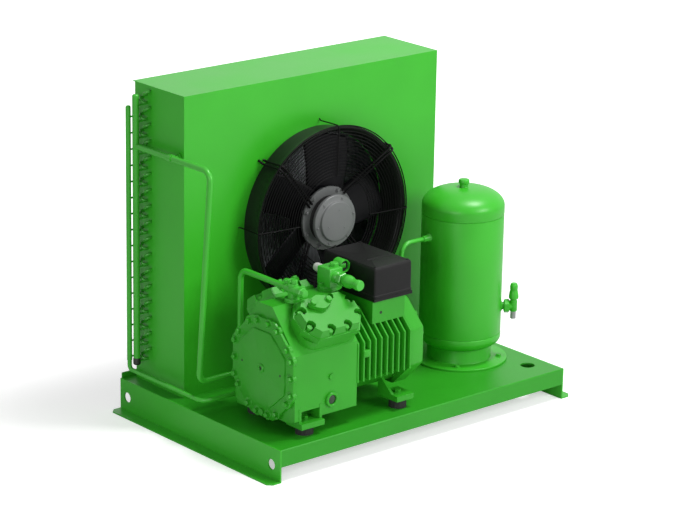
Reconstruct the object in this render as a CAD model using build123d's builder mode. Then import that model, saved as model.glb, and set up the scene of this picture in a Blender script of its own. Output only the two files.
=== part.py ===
"""Air-cooled refrigeration condensing unit: base frame, condenser with fan, compressor, receiver and pipes.

Frame: millimetres, +Z up, +X along the long side towards the receiver, -Y on the compressor's side.
The origin is on the ground under the middle of the base.
"""

import os
from math import atan, cos, degrees, pi, radians, sin

from build123d import *

os.makedirs("parts", exist_ok=True)

# ---------------------------------------------------------------- driving dimensions
# base frame
base_length = 1000.0
base_depth = 680.0
base_height = 88.0
sheet = 4.0
front_lip = 46.0
back_upstand_height = 15.0
rail_flange = 35.0
rail_seat = 30.0
flange_chamfer = 12.0
lifting_hole = 14.0
drain_hole = 20.0

# condenser shroud and coil
shroud_left = -460.6
shroud_right = 412.0
shroud_front = 109.7
shroud_back = 329.4
shroud_top = 907.0
shroud_sheet = 2.0
side_panel_back = 249.0
coil_front = 233.0
coil_depth = 80.0
coil_bottom = 92.0
coil_top = 903.0
end_plate = 2.0
first_row = 254.0
row_pitch = 17.0
tube_pitch = 22.0
circuits = 17
first_circuit = 155.0
return_tube = 4.0
gas_header = (-488.0, 281.0)
gas_header_radius = 9.0
liquid_header = (-498.0, 300.0)
liquid_header_radius = 7.0

# fan
fan_x = -17.0
fan_z = 516.0
nozzle_radius = 245.0
mouth_radius = 239.0
mouth_y = 62.0
spigot_radius = 231.0
nozzle_wall = 2.0
blade_radius = 224.0
blade_count = 5
hub_radius = 78.0
guard_front = 52.0
guard_wire = 3.0
guard_radii = (96.0, 124.0, 152.0, 180.0, 208.0, 236.0)
guard_arms = 8
motor_flange = 85.0
motor_disc = 70.0
fan_shaft = 10.0
fan_bore = 10.05

# receiver
receiver_x = 341.2
receiver_y = -88.5
receiver_radius = 113.0
receiver_wall = 4.0
seam_low = 169.0
seam_high = 504.0
dome_height = 71.0
bottom_dome = 47.0
neck_radius = 18.0
foot_ring = 88.0
foot_disc = 132.0
foot_disc_thickness = 6.0
skirt_top = 145.0
valve_angle = -40.8
valve_z = 237.0
valve_reach = 146.0

# compressor, measured from its crankshaft axis
axis_y = -180.0
axis_z = 250.0
case_front = -422.0
case_back = -215.0
case_half = 120.0
case_shoulder = 59.0
case_top = 168.0
case_top_half = 27.0
case_bottom = 126.0
chamber_half = 84.0
chamber_side = 35.0
cover_half = 123.0
cover_high = 133.0
cover_side = 57.0
cover_top = 46.0
cover_thickness = 9.0
bank_x = -297.0
bank_tilt = 35.0
root_radius = 42.0
deck = 146.0
valve_plate_thickness = 6.0
head_seat = 13.0
head_crown = 21.0
head_half_length = 98.0
head_half_width = 62.0
throw_offset = 42.0
throw = 23.0
journal = 18.0
journal_bore = 18.05
rotor_radius = 55.0
stator_bore = 56.0
fin_half = 122.0
drum_half = 104.0
fin_count = 10
fin_thickness = 4.5
fin_low = 56.0
fins_end = -31.0
motor_end = 20.0
foot_level = 112.0
foot_height = 15.0
mount_x = (-370.0, -52.0)
mount_y = (-277.0, -83.0)
mount_radius = 24.0

# terminal box
box_x = -77.5
box_y = -175.0
box_length = 131.0
box_depth = 210.0
box_bottom = 392.0
box_top = 484.0
pedestal_x = -84.5
pedestal_length = 111.0

# tubes
discharge_tube = 8.0
discharge_bend = 26.0
liquid_tube = 6.0
liquid_bend = 24.0

half_length = base_length / 2
half_depth = base_depth / 2

# sides of a round: large rings and discs, middling ones, small fittings
large_sides = 40
medium_sides = 24
ring_sides = 16
small_sides = 12


def finish(part, name):
    """Label a finished piece and write it."""
    part.label = name
    export_step(part, f"parts/{name}.step")


def tapered_disc(wide, narrow, height, sides):
    """An upright disc drawn with flat sides, narrowing upwards."""
    slope = (wide - narrow) * cos(pi / sides) / height
    with BuildPart() as disc:
        with BuildSketch():
            RegularPolygon(wide, sides)
        extrude(amount=height, taper=degrees(atan(slope)))
    return disc.part


def stack(profile, sides, base):
    """A round form drawn with flat sides through the (radius, height) steps of a profile.

    Heights grow from the base plane along its normal.
    """
    with BuildPart() as form:
        for (near, low), (far, high) in zip(profile, profile[1:]):
            disc = tapered_disc(max(near, far), min(near, far), high - low, sides)
            step = base.offset(low) if near >= far else -base.offset(high)
            add(step.location * disc)
    return form.part


def mitred(route):
    """A pipe's route with each bend as three short chords."""
    points = [route @ 0]
    for run in route.edges():
        chords = 3 if run.geom_type == GeomType.CIRCLE else 1
        points += [run @ (chord / chords) for chord in range(1, chords + 1)]
    return Polyline(*points)


def across(x):
    """A plane across the crankshaft at x: its x runs to the back, its y up."""
    return Plane(origin=(x, axis_y, axis_z), x_dir=(0, 1, 0), z_dir=(1, 0, 0))


def octagon(half_width, half_height, side, top):
    """The corners of an upright octagon about the crankshaft."""
    return [
        (half_width, -side),
        (half_width, side),
        (top, half_height),
        (-top, half_height),
        (-half_width, side),
        (-half_width, -side),
        (-top, -half_height),
        (top, -half_height),
    ]


# ---------------------------------------------------------------- base frame
# Base plate: a deck with a folded front lip and a low upstand along the back.
plate_half = half_length - sheet
lip_bottom = base_height - front_lip
deck_bottom = base_height - sheet
with BuildPart() as base_plate:
    with Locations((0, 0, deck_bottom)):
        Box(2 * plate_half, base_depth, sheet, align=(Align.CENTER, Align.CENTER, Align.MIN))
    fillet(base_plate.edges().filter_by(Axis.X).group_by(Axis.Y)[0].sort_by(Axis.Z)[-1], sheet - 1)
    with Locations((half_length - 60, -half_depth + 80, base_height)):
        Hole(drain_hole)
finish(base_plate.part, "base_plate")

with BuildPart() as front_lip:
    with BuildSketch(Plane.XY.offset(lip_bottom)):
        with Locations((0, -half_depth + sheet / 2)):
            Rectangle(2 * plate_half, sheet)
    extrude(amount=deck_bottom - lip_bottom)
finish(front_lip.part, "front_lip")

with BuildPart() as back_upstand:
    with BuildSketch(Plane.XY.offset(base_height)):
        with Locations((0, half_depth - sheet / 2)):
            Rectangle(2 * plate_half, sheet)
    extrude(amount=back_upstand_height)
finish(back_upstand.part, "back_upstand")

# Rails: an upright web, a foot flange outwards and a seat under the plate.
for name, side in (("left_rail", -1), ("right_rail", 1)):
    with BuildPart() as rail:
        with BuildSketch(Plane.XZ):
            with BuildLine():
                Polyline(
                    (side * (half_length + rail_flange), 0),
                    (side * (half_length - sheet), 0),
                    (side * (half_length - sheet), base_height),
                    (side * half_length, base_height),
                    (side * half_length, sheet),
                    (side * (half_length + rail_flange), sheet),
                    close=True,
                )
            make_face()
        extrude(amount=half_depth, both=True)
        uprights = rail.edges().filter_by(Axis.Z).sort_by(Axis.X)
        chamfer(uprights[:2] if side < 0 else uprights[-2:], flange_chamfer)
        with BuildSketch(Plane.XZ.offset(-half_depth)):
            with Locations((side * (half_length - (rail_seat + sheet) / 2), deck_bottom - sheet / 2)):
                Rectangle(rail_seat - sheet, sheet)
        extrude(amount=base_depth - sheet)
        with BuildSketch(Plane.YZ.offset(side * half_length)):
            with Locations((-half_depth + 36, 41), (half_depth - 31, 41)):
                Circle(lifting_hole)
        extrude(amount=2 * sheet, both=True, mode=Mode.SUBTRACT)
    finish(rail.part, name)

# ---------------------------------------------------------------- condenser
# Shroud: front, right side and part of the left side in one fold, with the top closed over it.
with BuildPart() as shroud:
    with BuildSketch(Plane.XY.offset(base_height)):
        with BuildLine():
            Polyline(
                (shroud_left, side_panel_back),
                (shroud_left, shroud_front),
                (shroud_right, shroud_front),
                (shroud_right, shroud_back),
                (shroud_right - shroud_sheet, shroud_back),
                (shroud_right - shroud_sheet, shroud_front + shroud_sheet),
                (shroud_left + shroud_sheet, shroud_front + shroud_sheet),
                (shroud_left + shroud_sheet, side_panel_back),
                close=True,
            )
        make_face()
    extrude(amount=shroud_top - base_height)
    with BuildSketch(Plane.XY.offset(shroud_top - shroud_sheet)):
        with BuildLine():
            Polyline(
                (shroud_left, shroud_front),
                (shroud_right, shroud_front),
                (shroud_right, shroud_back),
                (shroud_left, shroud_back),
                close=True,
            )
        make_face()
    extrude(amount=shroud_sheet)
    with BuildSketch(Plane.XZ.offset(-shroud_front)):
        with Locations((fan_x, fan_z)):
            RegularPolygon(spigot_radius, large_sides)
    extrude(amount=2 * shroud_sheet, both=True, mode=Mode.SUBTRACT)
finish(shroud.part, "shroud")

# Coil: a finned block between two end plates that stand on the base.
coil_left = shroud_left + shroud_sheet
coil_right = shroud_right - shroud_sheet
coil_middle = coil_front + coil_depth / 2
coil_height = coil_top - coil_bottom
with BuildPart() as coil_fins:
    with Locations(((coil_left + coil_right) / 2, coil_middle, (coil_top + coil_bottom) / 2)):
        Box(coil_right - coil_left - 2 * end_plate, coil_depth, coil_height)
finish(coil_fins.part, "coil_fins")

plate_top = shroud_top - shroud_sheet
with BuildPart() as end_plates:
    for x in (coil_left, coil_right - end_plate):
        with BuildSketch(Plane.YZ.offset(x)):
            with Locations((coil_middle + 4, (base_height + plate_top) / 2)):
                Rectangle(coil_depth + 12, plate_top - base_height)
        extrude(amount=end_plate)
finish(end_plates.part, "end_plates")

# Return bends: two per circuit, slanting in turn between neighbouring rows.
rows = [first_row + row_pitch * i for i in range(3)]
slanted = []
for row, low, high in ((0, tube_pitch * 1.5, tube_pitch), (1, 0, tube_pitch / 2)):
    start = Vector(coil_left, rows[row], first_circuit + low)
    end = Vector(coil_left, rows[row + 1], first_circuit + high)
    reach = (end - start).length / 2
    with BuildPart() as return_bend:
        with BuildLine() as bend:
            Polyline(start, start - Vector(reach, 0, 0), end - Vector(reach, 0, 0), end)
        with BuildSketch(Plane(origin=start, x_dir=(0, 0, 1), z_dir=(-1, 0, 0))):
            RegularPolygon(return_tube, 4)
        sweep(path=bend.wire(), transition=Transition.RIGHT)
    slanted.append(return_bend.part.solid())
return_bends = Compound([Pos(0, 0, 2 * tube_pitch * i) * bend for bend in slanted for i in range(circuits)])
finish(return_bends, "return_bends")

# Headers: upright tubes with one stub per circuit into the end plate.
for name, place, radius, low, high, lift in (
    ("gas_header", gas_header, gas_header_radius, 150.0, 884.0, -6.0),
    ("liquid_header", liquid_header, liquid_header_radius, 150.0, 852.0, 5.0),
):
    with BuildPart() as header:
        with BuildSketch(Plane.XY.offset(low)):
            with Locations(place):
                RegularPolygon(radius, 8, major_radius=False, rotation=22.5)
        extrude(amount=high - low)
        for circuit in range(circuits):
            height = first_circuit + circuit * 2 * tube_pitch + lift
            if height < high - 8:
                with BuildSketch(Plane.YZ.offset(place[0])):
                    with Locations((place[1], height)):
                        RegularPolygon(return_tube, 4)
                extrude(amount=coil_left - place[0])
    finish(header.part, name)

# ---------------------------------------------------------------- fan
fan_axis = Axis((fan_x, 0, fan_z), (0, 1, 0))


def fan_face(y):
    """A plane across the fan's axis at y, facing the front."""
    return Plane(origin=(fan_x, y, fan_z), x_dir=(1, 0, 0), z_dir=(0, -1, 0))


# Nozzle: a conical sheet ring between the mouth and the shroud's opening.
nozzle_outside = [(nozzle_radius, -shroud_front), (mouth_radius, -mouth_y)]
nozzle_inside = [(spigot_radius, -shroud_front), (mouth_radius - nozzle_wall, -mouth_y)]
with BuildPart() as fan_nozzle:
    add(stack(nozzle_outside, large_sides, fan_face(0)))
    add(stack(nozzle_inside, large_sides, fan_face(0)), mode=Mode.SUBTRACT)
finish(fan_nozzle.part, "fan_nozzle")

# Guard: rings and spokes in front of the mouth, carried by arms that hook back to the shroud.
arm_radius = nozzle_radius + 14
arm_turn = 22.5
with BuildPart() as fan_guard:
    for radius in guard_radii:
        with BuildSketch(fan_face(guard_front + guard_wire)):
            RegularPolygon(radius + guard_wire / 2, ring_sides)
            RegularPolygon(radius - guard_wire / 2, ring_sides, mode=Mode.SUBTRACT)
        extrude(amount=guard_wire)
    with BuildSketch(fan_face(guard_front + guard_wire)):
        with PolarLocations((guard_radii[0] + arm_radius) / 2, guard_arms, arm_turn):
            Rectangle(arm_radius - guard_radii[0] + 10, 5)
    extrude(amount=guard_wire)
finish(fan_guard.part, "fan_guard")

# Legs: every second arm turns back to the shroud's face.
with BuildPart() as guard_legs:
    with BuildSketch(fan_face(guard_front + guard_wire)):
        with PolarLocations(arm_radius + 3, guard_arms // 2, arm_turn):
            Rectangle(4, 5)
    extrude(amount=guard_front + guard_wire - shroud_front)
finish(guard_legs.part, "guard_legs")

# Motor: a stator disc with a mounting flange behind it, bored for the rotor's shaft.
flange_back = guard_front + guard_wire + 10
bore_front = 46
motor_profile = [(motor_disc - 8, -guard_front - 6), (motor_disc, -37), (48, -29)]
with BuildPart() as fan_stator:
    add(stack(motor_profile, medium_sides, fan_face(0)))
    with BuildSketch(fan_face(flange_back)):
        RegularPolygon(motor_flange, medium_sides)
        with PolarLocations(motor_flange, guard_arms // 2, 22.5 + 45):
            Rectangle(42, 18)
    extrude(amount=flange_back - guard_front - guard_wire)
    with BuildSketch(fan_face(flange_back)):
        Circle(fan_bore)
    extrude(amount=flange_back - bore_front, mode=Mode.SUBTRACT)
finish(fan_stator.part, "fan_stator")

# Impeller: an outer-rotor can on a shaft, with cambered blades that lean forward.
can_front = flange_back + 3
can_back = can_front + 62
blade_middle = (can_front + can_back) / 2
blade_pitch = radians(28)
blade_root = Plane(
    origin=(fan_x + hub_radius - 4, blade_middle, fan_z),
    x_dir=(0, sin(blade_pitch), cos(blade_pitch)),
    z_dir=(1, 0, 0),
)
with BuildPart() as blade:
    with BuildSketch(blade_root):
        Polygon((80, -1.5), (80, 1.5), (30, 8), (-30, 8), (-80, 1.5), (-80, -1.5), (-30, 5), (30, 5), align=None)
    extrude(amount=blade_radius - hub_radius + 10)
    with BuildSketch(fan_face(0)):
        with BuildLine():
            lead = ThreePointArc((hub_radius - 10, 46), (150, 54), (blade_radius + 6, 98))
            trail = ThreePointArc((hub_radius - 10, -44), (150, -46), (blade_radius + 6, -24))
            Line(lead @ 0, trail @ 0)
            Line(lead @ 1, trail @ 1)
        make_face()
    extrude(amount=-2 * can_back, mode=Mode.INTERSECT)

with BuildPart() as impeller:
    with BuildSketch(fan_face(can_front)):
        RegularPolygon(hub_radius, medium_sides)
    extrude(amount=can_front - can_back)
    with BuildSketch(fan_face(can_front)):
        Circle(fan_shaft)
    extrude(amount=can_front - bore_front - 2)
    for turn in range(blade_count):
        add(blade.part.rotate(fan_axis, 360 / blade_count * turn))
    with BuildSketch(fan_face(0)):
        RegularPolygon(blade_radius, large_sides)
    extrude(amount=-2 * can_back, mode=Mode.INTERSECT)
finish(impeller.part, "impeller")

# ---------------------------------------------------------------- receiver
inner = receiver_radius - receiver_wall
dome_top = seam_high + dome_height
valve_way = Plane(
    origin=(receiver_x, receiver_y, valve_z),
    x_dir=(0, 0, 1),
    z_dir=(cos(radians(valve_angle)), sin(radians(valve_angle)), 0),
)
valve_axis = Axis(valve_way.origin, valve_way.z_dir)
valve_x = receiver_x + valve_reach * cos(radians(valve_angle))
valve_y = receiver_y + valve_reach * sin(radians(valve_angle))


def dish(radius, height, chords):
    """Points of a dished end from its rim to its crown, in chords of equal angle."""
    turns = [radians(90 * step / chords) for step in range(chords)]
    return [(radius * cos(turn), height * sin(turn)) for turn in turns]


def receiver_plane(height):
    """A level plane about the receiver's axis."""
    return Plane((receiver_x, receiver_y, height))


# Shell: a rolled body between two dished ends, hollow inside.
top_dish = [(r, seam_high + h) for r, h in dish(receiver_radius, dome_height, 5)]
low_dish = [(r, seam_low - h) for r, h in reversed(dish(receiver_radius, bottom_dome, 3))]
with BuildPart() as receiver_shell:
    add(stack(low_dish + top_dish + [(neck_radius, dome_top)], large_sides, receiver_plane(0)))
    with BuildSketch(receiver_plane(seam_low)):
        RegularPolygon(inner, medium_sides)
    extrude(amount=seam_high - seam_low, mode=Mode.SUBTRACT)
finish(receiver_shell.part, "receiver_shell")

# Foot: a short skirt under the shell, standing on a round flange.
disc_top = base_height + foot_disc_thickness
with BuildPart() as receiver_foot:
    with BuildSketch(receiver_plane(base_height)):
        RegularPolygon(foot_disc, large_sides)
    extrude(amount=foot_disc_thickness)
    with BuildSketch(receiver_plane(disc_top)):
        RegularPolygon(foot_ring, large_sides)
    extrude(amount=seam_low - disc_top)
    add(receiver_shell.part, mode=Mode.SUBTRACT)
    split(bisect_by=receiver_plane(skirt_top), keep=Keep.BOTTOM)
finish(receiver_foot.part, "receiver_foot")

# Neck plug: a two-step safety plug on the crown.
with BuildPart() as receiver_plug:
    for radius, low, high in ((16, dome_top, dome_top + 10), (13, dome_top + 10, dome_top + 22)):
        with BuildSketch(receiver_plane(low)):
            RegularPolygon(radius, small_sides)
        extrude(amount=high - low)
finish(receiver_plug.part, "receiver_plug")

# Foot bolts: hexagon heads around the round flange.
with BuildPart() as receiver_bolts:
    with BuildSketch(Plane.XY.offset(disc_top)):
        with Locations((receiver_x, receiver_y)):
            with PolarLocations(foot_disc - 16, 4, 45):
                RegularPolygon(8, 6)
    extrude(amount=6)
finish(receiver_bolts.part, "receiver_bolts")

# Outlet valve: a nipple on the shell, a union nut and an upright body with its stub below.
with BuildPart() as outlet_nipple:
    with BuildSketch(valve_way.offset(inner + 1)):
        RegularPolygon(10.5, small_sides)
    extrude(amount=118 - inner - 1)
    add(receiver_shell.part, mode=Mode.SUBTRACT)
finish(outlet_nipple.part, "outlet_nipple")

with BuildPart() as outlet_nut:
    with BuildSketch(valve_way.offset(118)):
        RegularPolygon(17.5, 6)
    extrude(amount=16)
    nut_ends = outlet_nut.faces().sort_by(valve_axis)
    chamfer(nut_ends[0].edges() + nut_ends[-1].edges(), 2.5)
finish(outlet_nut.part, "outlet_nut")

stem_radius = 4.0
stem_bore = 4.05
outlet_low = valve_z - 14
outlet_neck = valve_z + 20
with BuildPart() as outlet_valve:
    with BuildSketch(Plane.XY.offset(outlet_low)):
        with Locations((valve_x, valve_y)):
            RegularPolygon(10.5, small_sides)
    extrude(amount=outlet_neck - outlet_low)
    with BuildSketch(valve_way.offset(134)):
        RegularPolygon(9, small_sides)
    extrude(amount=12)
    with BuildSketch(Plane.XY.offset(outlet_low - 22)):
        with Locations((valve_x, valve_y)):
            RegularPolygon(8, small_sides)
            RegularPolygon(6, small_sides, mode=Mode.SUBTRACT)
    extrude(amount=22)
    with BuildSketch(Plane.XY.offset(outlet_neck)):
        with Locations((valve_x, valve_y)):
            Circle(stem_bore)
    extrude(amount=-24, mode=Mode.SUBTRACT)
finish(outlet_valve.part, "outlet_valve")

cap_top = valve_z + 66
with BuildPart() as outlet_stem:
    with BuildSketch(Plane.XY.offset(outlet_neck - 20)):
        with Locations((valve_x, valve_y)):
            Circle(stem_radius)
    extrude(amount=34)
    with BuildSketch(Plane.XY.offset(outlet_neck + 14)):
        with Locations((valve_x, valve_y)):
            Rectangle(5, 5)
    extrude(amount=10)
finish(outlet_stem.part, "outlet_stem")

cap_profile = [(10.5, outlet_neck), (13.5, outlet_neck + 8), (8.5, cap_top)]
with BuildPart() as outlet_cap:
    add(stack(cap_profile, small_sides, Plane((valve_x, valve_y, 0))))
    with BuildSketch(Plane.XY.offset(outlet_neck)):
        with Locations((valve_x, valve_y)):
            RegularPolygon(6, 6)
    extrude(amount=30, mode=Mode.SUBTRACT)
finish(outlet_cap.part, "outlet_cap")

# ---------------------------------------------------------------- compressor
slope = radians(bank_tilt)
heads = (("front", -1), ("rear", 1))


def bank_plane(side, height):
    """A plane across a cylinder bank; its y runs up the slope towards the top of the crankcase."""
    normal = (0, side * sin(slope), cos(slope))
    plane = Plane(origin=(bank_x, axis_y, axis_z), x_dir=(-side, 0, 0), z_dir=normal)
    return plane.offset(height)


def head_outline(inset):
    """The head's outline: a long octagon, inset all round."""
    long = head_half_length - inset
    wide = head_half_width - inset
    return [
        (-long, -21),
        (-long + 31, -wide),
        (long - 31, -wide),
        (long, -21),
        (long, 21),
        (long - 31, wide),
        (-long + 31, wide),
        (-long, 21),
    ]


# Crankcase: an octagonal casting with two tilted cylinder banks, box feet and a hollow crank chamber.
wall = 14.0
with BuildPart() as crankcase:
    with BuildSketch(across(case_front)):
        with BuildLine():
            Polyline(
                (case_half, -case_bottom + 9),
                (case_half, case_shoulder),
                (case_top_half, case_top),
                (-case_top_half, case_top),
                (-case_half, case_shoulder),
                (-case_half, -case_bottom + 9),
                (-case_half + 30, -case_bottom),
                (case_half - 30, -case_bottom),
                close=True,
            )
        make_face()
    extrude(amount=case_back - case_front)
    for name, side in heads:
        with BuildSketch(bank_plane(side, 60)):
            RectangleRounded(2 * head_half_length - 6, 2 * head_half_width - 6, root_radius)
        extrude(amount=deck - 60)
        with BuildSketch(Plane.XY.offset(foot_level)):
            with Locations((mount_x[0], axis_y + side * 101)):
                Rectangle(76, 62)
        extrude(amount=foot_height)
        with BuildSketch(Plane.XY.offset(foot_level)):
            with Locations((mount_x[0] - 34, axis_y + side * 101), (mount_x[0] + 34, axis_y + side * 101)):
                Rectangle(8, 40)
        extrude(amount=54)
    with BuildSketch(across(case_front)):
        Polygon(*octagon(chamber_half, chamber_half, chamber_side, chamber_side))
    extrude(amount=case_back - case_front - wall, mode=Mode.SUBTRACT)
    with BuildSketch(across(case_back - wall)):
        Circle(journal_bore)
    extrude(amount=wall, mode=Mode.SUBTRACT)
    for name, side in heads:
        with BuildSketch(bank_plane(side, deck)):
            Polygon(*head_outline(-1))
        extrude(amount=30, mode=Mode.SUBTRACT)
    for side in (-1, 1):
        with BuildSketch(Plane.XY.offset(foot_level + foot_height)):
            with Locations((mount_x[0], axis_y + side * 107)):
                Rectangle(60, 50)
        extrude(amount=30, mode=Mode.SUBTRACT)
finish(crankcase.part, "crankcase")

# End cover: an octagonal plate with a raised panel, a centre boss and a bearing socket inside.
cover_bolts = [(cover_half - 11, y) for y in (-46, 0, 46)]
cover_bolts += [(cover_top + 10 + step, cover_high - 22 - step) for step in (0, 40)]
cover_bolts += [(22, cover_high - 11)]
cover_bolts = [(sx * x, sy * y) for x, y in cover_bolts for sx in (-1, 1) for sy in (-1, 1) if y or sy > 0]
with BuildPart() as end_cover:
    with BuildSketch(across(case_front - cover_thickness)):
        Polygon(*octagon(cover_half, cover_high, cover_side, cover_top))
    extrude(amount=cover_thickness)
    with BuildSketch(across(case_front - cover_thickness)):
        Polygon(*octagon(cover_half - 30, cover_high - 32, cover_side - 8, cover_top - 12))
    extrude(amount=-5, taper=20)
    with BuildSketch(across(case_front)):
        RegularPolygon(32, small_sides)
        Circle(journal_bore, mode=Mode.SUBTRACT)
    extrude(amount=16)
    with BuildSketch(across(case_front - cover_thickness - 5)):
        RegularPolygon(11, small_sides)
        RegularPolygon(5, 6, mode=Mode.SUBTRACT)
    extrude(amount=-4)
finish(end_cover.part, "end_cover")

with BuildPart() as cover_bolt_heads:
    with BuildSketch(across(case_front - cover_thickness)):
        with Locations(*cover_bolts):
            RegularPolygon(7.5, 6)
    extrude(amount=-6)
finish(cover_bolt_heads.part, "cover_bolts")

# Motor housing: an octagonal drum with fins across it, feet and the pedestal of the terminal box.
fin_step = (fins_end - case_back - fin_thickness) / (fin_count - 1)
with BuildPart() as motor_housing:
    with BuildSketch(across(case_back)):
        Polygon(*octagon(drum_half, drum_half, 44, 44))
    extrude(amount=fins_end + 3 - case_back)
    for fin in range(fin_count):
        with BuildSketch(across(case_back + fin * fin_step)):
            Polygon(*octagon(fin_half, fin_half, 50, 50)[1:5], (-fin_half, -fin_low), (fin_half, -fin_low), align=None)
        extrude(amount=fin_thickness)
    with BuildSketch(Plane.XY.offset(axis_z + 80)):
        with Locations((pedestal_x, box_y)):
            Rectangle(pedestal_length, box_depth - 20)
    extrude(amount=box_bottom - axis_z - 80)
    for side in (-1, 1):
        with BuildSketch(Plane.XY.offset(foot_level)):
            with Locations((mount_x[1], axis_y + side * 96)):
                Rectangle(58, 64)
        extrude(amount=foot_height)
        with BuildSketch(Plane.YZ.offset(mount_x[1] - 29)):
            with BuildLine():
                Polyline(
                    (axis_y + side * 124, foot_level),
                    (axis_y + side * 50, foot_level + 62),
                    (axis_y + side * 50, foot_level),
                    close=True,
                )
            make_face()
        extrude(amount=8)
    with BuildSketch(across(case_back)):
        Circle(stator_bore)
    extrude(amount=fins_end - case_back + 3, mode=Mode.SUBTRACT)
    add(crankcase.part, mode=Mode.SUBTRACT)
finish(motor_housing.part, "motor_housing")

# Motor end cover: a deep octagonal dish that closes the motor.
cover_start = fins_end + 3
with BuildPart() as motor_cover:
    with BuildSketch(across(cover_start)):
        Polygon(*octagon(fin_half - 4, fin_half - 4, 50, 50))
    extrude(amount=motor_end - cover_start)
    chamfer(motor_cover.faces().sort_by(Axis.X)[-1].edges(), 6)
    with BuildSketch(across(cover_start)):
        Polygon(*octagon(chamber_half, chamber_half, chamber_side, chamber_side))
    extrude(amount=motor_end - cover_start - wall, mode=Mode.SUBTRACT)
finish(motor_cover.part, "motor_cover")

with BuildPart() as motor_cover_bolts:
    with BuildSketch(across(motor_end)):
        with PolarLocations(fin_half - 20, 12, 15):
            RegularPolygon(7, 6)
    extrude(amount=6)
finish(motor_cover_bolts.part, "motor_cover_bolts")

# Rotor and crankshaft inside.
with BuildPart() as motor_rotor:
    with BuildSketch(across(-176)):
        RegularPolygon(rotor_radius, medium_sides)
        Circle(journal, mode=Mode.SUBTRACT)
    extrude(amount=112)
finish(motor_rotor.part, "motor_rotor")

# Crankshaft: two throws, opposite each other, and a long overhung end for the rotor.
front_throw = bank_x - throw_offset
rear_throw = bank_x + throw_offset
with BuildPart() as crankshaft:
    for start, end in (
        (case_front + 0.5, front_throw - 22),
        (front_throw + 22, rear_throw - 22),
        (rear_throw + 22, -60),
    ):
        with BuildSketch(across(start)):
            Circle(journal)
        extrude(amount=end - start)
    for middle, side in ((front_throw, 1), (rear_throw, -1)):
        for web in (middle - 22, middle + 14):
            with BuildSketch(across(web)):
                Polygon(
                    (-16, side * (throw + 19)),
                    (16, side * (throw + 19)),
                    (24, -side * 10),
                    (18, -side * 38),
                    (-18, -side * 38),
                    (-24, -side * 10),
                    align=None,
                )
            extrude(amount=8)
        with BuildSketch(across(middle - 14)):
            with Locations((0, side * throw)):
                RegularPolygon(15, small_sides)
        extrude(amount=28)
finish(crankshaft.part, "crankshaft")

# Heads, valve plates, pistons: the same set on both banks.
bolt_places = [
    (sx * x, sy * y)
    for x, y in ((head_half_length - 20, 23), (27, head_half_width - 15))
    for sx in (-1, 1)
    for sy in (-1, 1)
]
head_base = deck + valve_plate_thickness
seat = head_base + head_seat
crown = seat + head_crown


with BuildPart() as valve_plates:
    for name, side in heads:
        with BuildSketch(bank_plane(side, deck)):
            Polygon(*head_outline(1))
        extrude(amount=valve_plate_thickness)
finish(valve_plates.part, "valve_plates")

for name, side in heads:
    with BuildPart() as head:
        with BuildSketch(bank_plane(side, head_base)):
            Polygon(*head_outline(0))
        extrude(amount=head_seat)
        with BuildSketch(bank_plane(side, seat)):
            Polygon(*head_outline(3))
        extrude(amount=head_crown, taper=18)
        wide = head_half_width
        slope_plane = Plane(
            origin=bank_plane(side, 0).origin,
            x_dir=bank_plane(side, 0).y_dir,
            z_dir=-bank_plane(side, 0).x_dir,
        )
        with BuildSketch(slope_plane):
            Polygon((6, crown), (wide, crown), (wide, crown - 10), (9, crown - 10), align=None)
            Polygon((-34, crown), (-wide, crown), (-wide, crown - 15), align=None)
        extrude(amount=head_half_length, both=True, mode=Mode.SUBTRACT)
        with BuildSketch(bank_plane(side, seat)):
            with Locations((-20, 28)):
                RegularPolygon(24, medium_sides)
        extrude(amount=head_crown + 3)
        with BuildSketch(bank_plane(side, seat)):
            with Locations(*bolt_places):
                RegularPolygon(13, 8)
        extrude(amount=head_crown, mode=Mode.SUBTRACT)
    finish(head.part, f"{name}_head")

with BuildPart() as blank_flanges:
    for name, side in heads:
        with BuildSketch(bank_plane(side, crown + 3)):
            with Locations((-20, 28)):
                RegularPolygon(22, ring_sides)
            with Locations((-45, 28), (5, 28)):
                RegularPolygon(11, small_sides)
            make_hull()
        extrude(amount=10)
finish(blank_flanges.part, "blank_flanges")

with BuildPart() as head_bolts:
    for name, side in heads:
        with BuildSketch(bank_plane(side, seat)):
            with Locations(*bolt_places):
                RegularPolygon(8, 6)
        extrude(amount=9)
        with BuildSketch(bank_plane(side, crown + 13)):
            with Locations((-45, 28), (5, 28)):
                RegularPolygon(8, 6)
        extrude(amount=7)
finish(head_bolts.part, "head_bolts")

# Terminal box: a tray on the motor's pedestal under a deep lid, with the terminals inside.
lid_wall = 3.0
tray_top = box_bottom + 8
with BuildPart() as terminal_tray:
    with BuildSketch(Plane.XY.offset(box_bottom)):
        with Locations((box_x, box_y)):
            Rectangle(box_length, box_depth)
    extrude(amount=8)
    with BuildSketch(Plane.XY.offset(tray_top)):
        with Locations((box_x, box_y)):
            Rectangle(70, 110)
    extrude(amount=6)
finish(terminal_tray.part, "terminal_tray")

with BuildPart() as terminal_lid:
    with BuildSketch(Plane.XY.offset(tray_top)):
        with Locations((box_x, box_y)):
            Rectangle(box_length, box_depth)
    extrude(amount=box_top - tray_top)
    chamfer(terminal_lid.edges().filter_by(Axis.Z), 4)
    with BuildSketch(Plane.XY.offset(tray_top)):
        with Locations((box_x, box_y)):
            Rectangle(box_length - 2 * lid_wall, box_depth - 2 * lid_wall)
    extrude(amount=box_top - tray_top - lid_wall, mode=Mode.SUBTRACT)
finish(terminal_lid.part, "terminal_lid")

with BuildPart() as terminals:
    with BuildSketch(Plane.XY.offset(tray_top + 6)):
        with Locations((box_x, box_y)):
            with GridLocations(40, 32, 2, 3):
                RegularPolygon(7, 6)
    extrude(amount=12)
finish(terminals.part, "terminals")

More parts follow.
